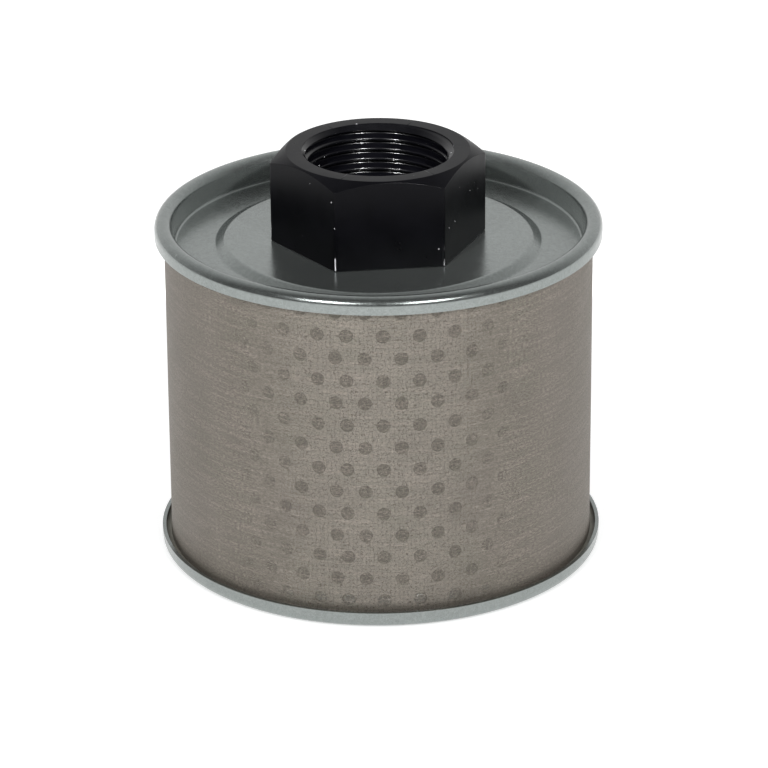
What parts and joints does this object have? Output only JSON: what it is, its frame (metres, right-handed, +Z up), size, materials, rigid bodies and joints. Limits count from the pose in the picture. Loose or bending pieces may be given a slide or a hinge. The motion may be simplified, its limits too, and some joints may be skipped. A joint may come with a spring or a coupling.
{
  "type": "pneumatic muffler",
  "caption": "Canister pneumatic exhaust muffler: wire-cloth wall over a perforated tube, rolled steel end caps and a black hexagonal nut with a female threaded port.",
  "frame": {"origin": "centre of the bottom cap's rim, on the plane the canister stands on, below the port axis", "axes": "+Z up along the port axis and out of the port's mouth; the cloth's and the tube's seams face +Y; +X is to the right of the seam-free front, which faces -Y"},
  "size_m": [0.098, 0.098, 0.0917],
  "materials": {
    "port_adapter": "black anodised, machined, satin",
    "port_gasket": "matt fibre-filled gasket sheet",
    "clamp_washer": "zinc plated, satin",
    "clamp_nut": "zinc plated, satin",
    "top_cap": "zinc plated sheet, satin, fine spangle",
    "bottom_cap": "zinc plated sheet, satin, fine spangle",
    "top_bond": "cast resin, dull",
    "bottom_bond": "cast resin, dull",
    "perforated_core": "perforated steel sheet, satin",
    "core_seam": "steel strip, satin",
    "support_mesh": "coarse woven stainless wire cloth",
    "outer_mesh": "fine woven stainless wire cloth, warm grey",
    "mesh_seam": "lapped stainless wire cloth, pressed flat",
    "diffuser_tube": "perforated steel tube, satin",
    "diffuser_cup": "zinc plated pressing, satin",
    "diffuser_screen": "woven stainless wire cloth",
    "inner_packing": "cream acoustic fibre",
    "outer_packing": "cream acoustic fibre",
    "packing_screen": "thin non-woven scrim",
    "top_pad": "grey wool felt",
    "bottom_pad": "grey wool felt"
  },
  "bodies": {
    "root": {"port_adapter": "port_adapter", "port_gasket": "port_gasket", "clamp_washer": "clamp_washer", "clamp_nut": "clamp_nut", "top_cap": "top_cap", "bottom_cap": "bottom_cap", "top_bond": "top_bond", "bottom_bond": "bottom_bond", "perforated_core": "perforated_core", "core_seam": "core_seam", "support_mesh": "support_mesh", "outer_mesh": "outer_mesh", "mesh_seam": "mesh_seam", "diffuser_tube": "diffuser_tube", "diffuser_cup": "diffuser_cup", "diffuser_screen": "diffuser_screen", "inner_packing": "inner_packing", "outer_packing": "outer_packing", "packing_screen": "packing_screen", "top_pad": "top_pad", "bottom_pad": "bottom_pad"}
  },
  "joints": []
}
